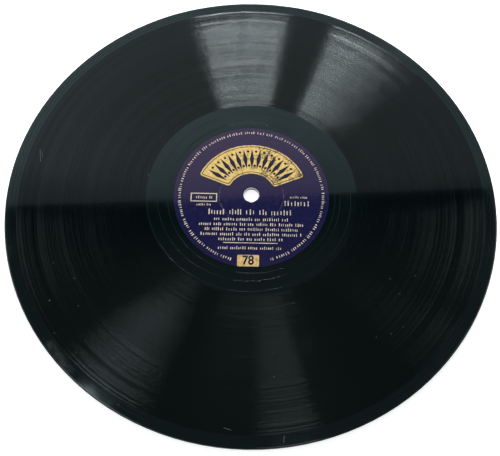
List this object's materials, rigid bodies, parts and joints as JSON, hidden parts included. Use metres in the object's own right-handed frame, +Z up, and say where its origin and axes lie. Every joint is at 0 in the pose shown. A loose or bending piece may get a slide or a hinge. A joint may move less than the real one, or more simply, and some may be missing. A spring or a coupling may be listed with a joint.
{
  "type": "shellac record",
  "caption": "Flat round shellac gramophone disc with a rounded rim, grooved playing sides, paper labels let in flush round a central spindle hole.",
  "frame": {"origin": "centre of the spindle hole, on the underside plane that the record rests on", "axes": "+Z up along the spindle hole, out of playing side A; X and Y lie in the disc, -Y towards the bottom of the label"},
  "size_m": [0.25, 0.25, 0.0021],
  "materials": {
    "shellac": "pressed black shellac compound, polished lands and a finely grooved band",
    "label_paper": "satin printed paper, dark violet blue"
  },
  "bodies": {
    "root": {"shellac_disc": "shellac", "label_side_a": "label_paper", "label_side_b": "label_paper"}
  },
  "joints": []
}
